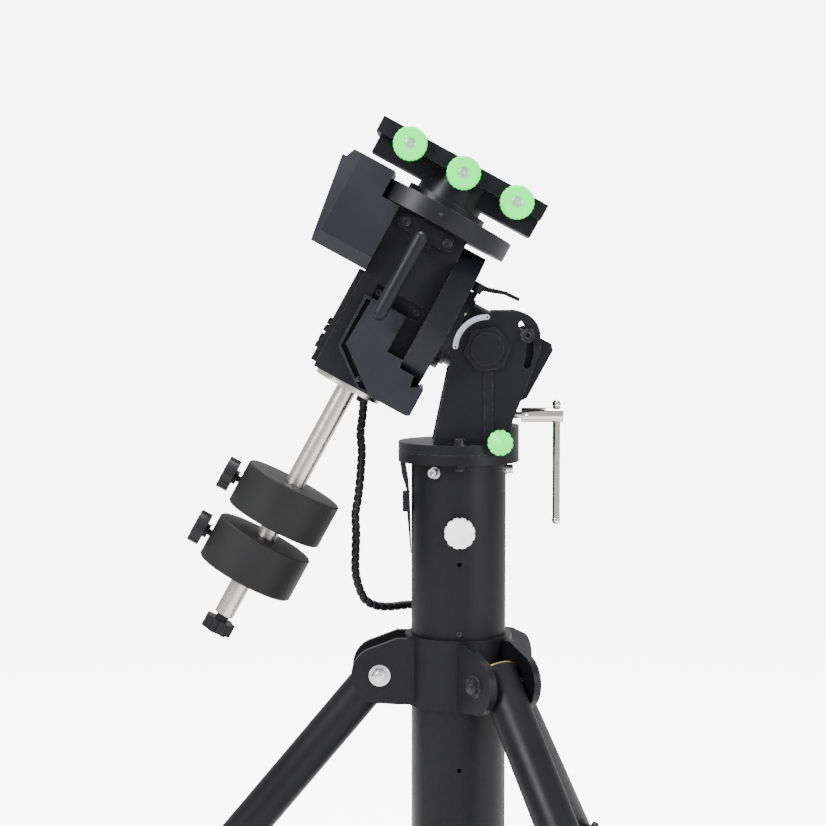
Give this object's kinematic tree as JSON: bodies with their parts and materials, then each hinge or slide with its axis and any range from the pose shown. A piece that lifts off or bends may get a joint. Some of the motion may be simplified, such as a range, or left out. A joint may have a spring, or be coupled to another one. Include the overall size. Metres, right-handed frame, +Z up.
{
  "type": "equatorial mount",
  "caption": "German-type equatorial head on a round pier with three folding legs, two sliding counterweights and a dovetail saddle.",
  "frame": {"origin": "on the pier axis at floor level", "axes": "+Z up along the pier; +X towards the low end of the polar axis; -Y towards the side with the handle and the saddle knobs"},
  "size_m": [0.8335, 0.9506, 1.3543],
  "materials": {
    "satin_black": "satin powder coat",
    "cast_black": "satin powder coat on a casting",
    "cover_grey": "satin moulded cover",
    "green_plastic": "bright green moulding",
    "white_plastic": "white moulding",
    "black_plastic": "black moulding",
    "steel": "turned steel",
    "chrome": "polished plate",
    "screw_black": "black oxide",
    "silver_scale": "matt anodised",
    "brass": "machined",
    "rubber": "matt",
    "wrap": "spiral wrap"
  },
  "bodies": {
    "stand": {"pier_tube": "satin_black", "pier_flange": "cast_black", "pier_side_screws": "steel", "leg_collar": "cast_black", "brace_hub": "cast_black", "leg_bolts": "steel", "cable_junction": "black_plastic", "cable_strap": "black_plastic", "cable_foot": "wrap"},
    "pier_knob": {"pier_knob": "white_plastic"},
    "yoke": {"altaz_yoke": "cast_black", "hex_covers": "cast_black", "latitude_scale": "silver_scale", "yoke_bolts": "screw_black", "cable_drop": "wrap"},
    "azimuth_knob_front": {"azimuth_knob_front": "green_plastic"},
    "azimuth_knob_back": {"azimuth_knob_back": "green_plastic"},
    "altitude_crank": {"altitude_crank": "chrome"},
    "tommy_bar": {"tommy_bar": "chrome"},
    "polar_housing": {"ra_housing": "cast_black", "altitude_pins": "screw_black", "ra_bearings": "steel", "ra_worm_wheel": "brass"},
    "ra_clutch_lever": {"ra_clutch_lever": "black_plastic"},
    "head": {"ra_shaft": "steel", "ra_disc": "cast_black", "dec_housing": "cast_black", "ra_drive_cover": "cover_grey", "carry_handle": "cast_black", "head_screws": "screw_black", "connector_panel": "black_plastic", "worm_shafts": "steel", "drive_motors": "black_plastic", "dec_disc": "cast_black", "dec_drive_cover": "cover_grey", "dec_bearings": "steel", "weight_shaft": "steel", "shaft_disc": "steel", "cable_head": "wrap"},
    "weight_upper": {"weight_upper": "satin_black"},
    "weight_lower": {"weight_lower": "satin_black"},
    "weight_knob_upper": {"weight_knob_upper": "black_plastic"},
    "weight_knob_lower": {"weight_knob_lower": "black_plastic"},
    "shaft_end_knob": {"shaft_end_knob": "black_plastic"},
    "saddle": {"dec_shaft": "cast_black", "dec_worm_wheel": "brass", "saddle_base": "cast_black"},
    "saddle_jaw": {"saddle_jaw": "cast_black"},
    "saddle_knob_1": {"saddle_knob_1": "green_plastic"},
    "saddle_knob_2": {"saddle_knob_2": "green_plastic"},
    "saddle_knob_3": {"saddle_knob_3": "green_plastic"},
    "leg_1": {"leg_1": "satin_black"},
    "brace_1": {"brace_1": "satin_black"},
    "foot_1": {"foot_1": "rubber"},
    "leg_2": {"leg_2": "satin_black"},
    "brace_2": {"brace_2": "satin_black"},
    "foot_2": {"foot_2": "rubber"},
    "leg_3": {"leg_3": "satin_black"},
    "brace_3": {"brace_3": "satin_black"},
    "foot_3": {"foot_3": "rubber"}
  },
  "joints": [
    {"name": "leg_1_fold", "type": "hinge", "parent": "stand", "child": "leg_1", "pos_m": [-0.121, 0, 0.509], "axis": [0, -1, 0], "range_deg": [0, 34]},
    {"name": "brace_1_fold", "type": "hinge", "parent": "stand", "child": "brace_1", "pos_m": [-0.1, 0, 0.12], "axis": [0, 1, 0], "range_deg": [0, 72]},
    {"name": "foot_1_level", "type": "slide", "parent": "leg_1", "child": "foot_1", "axis": [0, 0, -1], "range_m": [0, 0.025]},
    {"name": "leg_2_fold", "type": "hinge", "parent": "stand", "child": "leg_2", "pos_m": [0.0605, -0.10479, 0.509], "axis": [0.866, 0.5, 0], "range_deg": [0, 34]},
    {"name": "brace_2_fold", "type": "hinge", "parent": "stand", "child": "brace_2", "pos_m": [0.05, -0.0866, 0.12], "axis": [-0.866, -0.5, 0], "range_deg": [0, 72]},
    {"name": "foot_2_level", "type": "slide", "parent": "leg_2", "child": "foot_2", "axis": [0, 0, -1], "range_m": [0, 0.025]},
    {"name": "leg_3_fold", "type": "hinge", "parent": "stand", "child": "leg_3", "pos_m": [0.0605, 0.10479, 0.509], "axis": [-0.866, 0.5, 0], "range_deg": [0, 34]},
    {"name": "brace_3_fold", "type": "hinge", "parent": "stand", "child": "brace_3", "pos_m": [0.05, 0.0866, 0.12], "axis": [0.866, -0.5, 0], "range_deg": [0, 72]},
    {"name": "foot_3_level", "type": "slide", "parent": "leg_3", "child": "foot_3", "axis": [0, 0, -1], "range_m": [0, 0.025]},
    {"name": "pier_knob_turn", "type": "hinge", "parent": "stand", "child": "pier_knob", "pos_m": [0, -0.0725, 0.732], "axis": [0, -1, 0], "range_deg": [0, 720]},
    {"name": "azimuth_turn", "type": "hinge", "parent": "stand", "child": "yoke", "pos_m": [0, 0, 0.849], "axis": [0, 0, 1], "range_deg": [-8, 8], "deforming": ["cable_foot"]},
    {"name": "azimuth_knob_front_turn", "type": "hinge", "parent": "yoke", "child": "azimuth_knob_front", "pos_m": [0.06, -0.084, 0.869], "axis": [0, -1, 0], "range_deg": [-360, 360]},
    {"name": "azimuth_knob_back_turn", "type": "hinge", "parent": "yoke", "child": "azimuth_knob_back", "pos_m": [0.06, 0.084, 0.869], "axis": [0, 1, 0], "range_deg": [-360, 360]},
    {"name": "altitude_crank_turn", "type": "hinge", "parent": "yoke", "child": "altitude_crank", "pos_m": [0.12, 0, 0.904], "axis": [1, 0, 0], "continuous": true},
    {"name": "tommy_bar_slide", "type": "slide", "parent": "altitude_crank", "child": "tommy_bar", "axis": [0, 0, 1], "range_m": [0, 0.14]},
    {"name": "altitude_tilt", "type": "hinge", "parent": "yoke", "child": "polar_housing", "pos_m": [0.0413, 0, 1.0074], "axis": [0, 1, 0], "range_deg": [-10, 40], "deforming": ["cable_drop"]},
    {"name": "ra_clutch_turn", "type": "hinge", "parent": "polar_housing", "child": "ra_clutch_lever", "pos_m": [0.0274, 0, 1.09471], "axis": [0.4787, 0, 0.878], "range_deg": [-60, 60]},
    {"name": "ra_turn", "type": "hinge", "parent": "polar_housing", "child": "head", "pos_m": [0.0413, 0, 1.0074], "axis": [0.878, 0, -0.4787], "range_deg": [-110, 110], "deforming": ["cable_head"]},
    {"name": "weight_upper_slide", "type": "slide", "parent": "head", "child": "weight_upper", "axis": [0.4787, 0, 0.878], "range_m": [0, 0.08]},
    {"name": "weight_lower_slide", "type": "slide", "parent": "head", "child": "weight_lower", "axis": [0.4787, 0, 0.878], "range_m": [-0.055, 0.02]},
    {"name": "weight_knob_upper_turn", "type": "hinge", "parent": "weight_upper", "child": "weight_knob_upper", "pos_m": [-0.34741, 0, 0.81044], "axis": [-0.878, 0, 0.4787], "range_deg": [0, 720]},
    {"name": "weight_knob_lower_turn", "type": "hinge", "parent": "weight_lower", "child": "weight_knob_lower", "pos_m": [-0.39241, 0, 0.72791], "axis": [-0.878, 0, 0.4787], "range_deg": [0, 720]},
    {"name": "shaft_end_knob_turn", "type": "hinge", "parent": "head", "child": "shaft_end_knob", "pos_m": [-0.36461, 0, 0.59088], "axis": [-0.4787, 0, -0.878], "range_deg": [0, 720]},
    {"name": "dec_turn", "type": "hinge", "parent": "head", "child": "saddle", "pos_m": [-0.01995, 0, 1.22303], "axis": [0.4787, 0, 0.878], "continuous": true},
    {"name": "saddle_jaw_slide", "type": "slide", "parent": "saddle", "child": "saddle_jaw", "axis": [0, -1, 0], "range_m": [0, 0.006]},
    {"name": "saddle_knob_1_turn", "type": "hinge", "parent": "saddle_jaw", "child": "saddle_knob_1", "pos_m": [-0.07408, -0.074, 1.31177], "axis": [0, -1, 0], "range_deg": [0, 1080]},
    {"name": "saddle_knob_2_turn", "type": "hinge", "parent": "saddle_jaw", "child": "saddle_knob_2", "pos_m": [0.00494, -0.074, 1.26869], "axis": [0, -1, 0], "range_deg": [0, 1080]},
    {"name": "saddle_knob_3_turn", "type": "hinge", "parent": "saddle_jaw", "child": "saddle_knob_3", "pos_m": [0.08396, -0.074, 1.22561], "axis": [0, -1, 0], "range_deg": [0, 1080]}
  ],
  "couplings": [
    {"joint": "brace_1_fold", "follows": "leg_1_fold", "ratio": 2.1},
    {"joint": "brace_2_fold", "follows": "leg_2_fold", "ratio": 2.1},
    {"joint": "brace_3_fold", "follows": "leg_3_fold", "ratio": 2.1},
    {"joint": "saddle_knob_1_turn", "follows": "saddle_jaw_slide", "rad_per_m": 3141},
    {"joint": "saddle_knob_2_turn", "follows": "saddle_jaw_slide", "rad_per_m": 3141},
    {"joint": "saddle_knob_3_turn", "follows": "saddle_jaw_slide", "rad_per_m": 3141}
  ]
}
